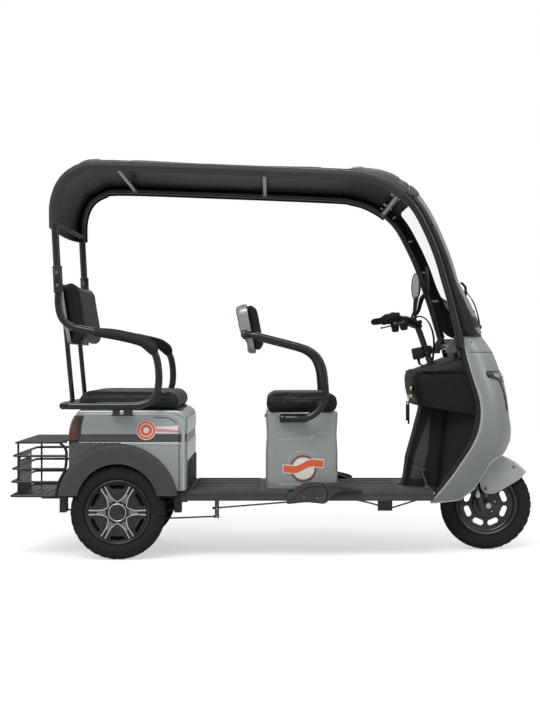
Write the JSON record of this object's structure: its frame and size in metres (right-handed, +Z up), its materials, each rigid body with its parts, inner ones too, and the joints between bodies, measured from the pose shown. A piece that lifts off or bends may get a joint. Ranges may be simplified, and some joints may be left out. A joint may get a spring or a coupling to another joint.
{
  "type": "electric passenger tricycle",
  "caption": "Electric passenger three-wheeler with a tubular canopy, curved windscreen, driver's seat box, rear bench over a storage box, and a rear rack.",
  "frame": {"origin": "on the ground under the middle of the vehicle", "axes": "+X forward, +Y to the vehicle's left, +Z up"},
  "size_m": [2.3739, 0.836, 1.7788],
  "materials": {
    "frame_black": "satin black paint",
    "gloss_tube": "gloss black paint",
    "basket_black": "satin black paint",
    "wheel_black": "gloss black paint with bright spokes",
    "cast_metal": "dark cast metal",
    "bare_steel": "dull zinc-plated steel",
    "grey_paint": "glossy silver-grey paint",
    "grey_gloss": "glossy silver-grey plastic",
    "black_plastic": "matte textured black plastic",
    "soft_pad": "soft matte black foam",
    "step_rubber": "matte black rubber-like moulding",
    "cover_vinyl": "satin black vinyl",
    "black_vinyl": "grained black vinyl",
    "tyre_rubber": "black rubber",
    "mirror_black": "black plastic with a mirror face",
    "lamp_red": "red and amber lamp lens",
    "lamp_clear": "clear lamp lens",
    "clear_pane": "clear curved pane"
  },
  "bodies": {
    "chassis": {"frame": "frame_black", "floor_deck": "black_plastic", "side_step_right": "step_rubber", "side_step_left": "step_rubber", "rear_body": "grey_paint", "rear_kick_panel": "black_plastic", "rear_fender_right": "black_plastic", "rear_fender_left": "black_plastic", "tail_lamp_right": "lamp_red", "tail_lamp_left": "lamp_red", "rear_axle": "cast_metal", "rear_backrest_pad": "black_vinyl", "rear_backrest_shell": "grey_gloss", "armrest_hoop": "gloss_tube", "armrest_pad_right": "soft_pad", "armrest_pad_left": "soft_pad", "canopy_frame": "gloss_tube", "canopy_cover": "cover_vinyl", "windscreen_frame": "black_plastic", "windscreen": "clear_pane", "wiper": "black_plastic", "front_cowl": "grey_gloss", "headlamp": "lamp_clear", "leg_shield": "black_plastic", "driver_box": "grey_paint", "driver_arm_frame": "gloss_tube", "driver_backrest_pad": "black_vinyl", "driver_backrest_shell": "grey_gloss", "basket": "basket_black", "brake_pedal": "bare_steel", "brake_linkage": "bare_steel", "battery_box": "black_plastic"},
    "steering": {"fork": "frame_black", "front_fender": "grey_gloss", "handlebar": "black_plastic", "mirror_right": "mirror_black", "mirror_left": "mirror_black"},
    "front_wheel": {"front_tyre": "tyre_rubber", "front_rim": "wheel_black"},
    "rear_wheel_right": {"rear_tyre_right": "tyre_rubber", "rear_rim_right": "wheel_black"},
    "rear_wheel_left": {"rear_tyre_left": "tyre_rubber", "rear_rim_left": "wheel_black"},
    "driver_seat_lid": {"driver_cushion": "black_vinyl"},
    "rear_seat_lid": {"rear_cushion": "black_vinyl"}
  },
  "joints": [
    {"name": "steering_turn", "type": "hinge", "parent": "chassis", "child": "steering", "pos_m": [0.9493, 0, 0.20046], "axis": [-0.3256, 0, 0.9455], "range_deg": [-30, 30]},
    {"name": "front_wheel_spin", "type": "hinge", "parent": "steering", "child": "front_wheel", "pos_m": [0.977, 0, 0.21], "axis": [0, 1, 0], "continuous": true},
    {"name": "rear_wheel_right_spin", "type": "hinge", "parent": "chassis", "child": "rear_wheel_right", "pos_m": [-0.702, -0.3, 0.21], "axis": [0, 1, 0], "continuous": true},
    {"name": "rear_wheel_left_spin", "type": "hinge", "parent": "chassis", "child": "rear_wheel_left", "pos_m": [-0.702, 0.3, 0.21], "axis": [0, 1, 0], "continuous": true},
    {"name": "driver_seat_tilt", "type": "hinge", "parent": "chassis", "child": "driver_seat_lid", "pos_m": [0.281, 0, 0.6463], "axis": [0, 1, 0], "range_deg": [0, 80]},
    {"name": "rear_seat_tilt", "type": "hinge", "parent": "chassis", "child": "rear_seat_lid", "pos_m": [-0.421, 0, 0.6563], "axis": [0, 1, 0], "range_deg": [0, 80]}
  ]
}
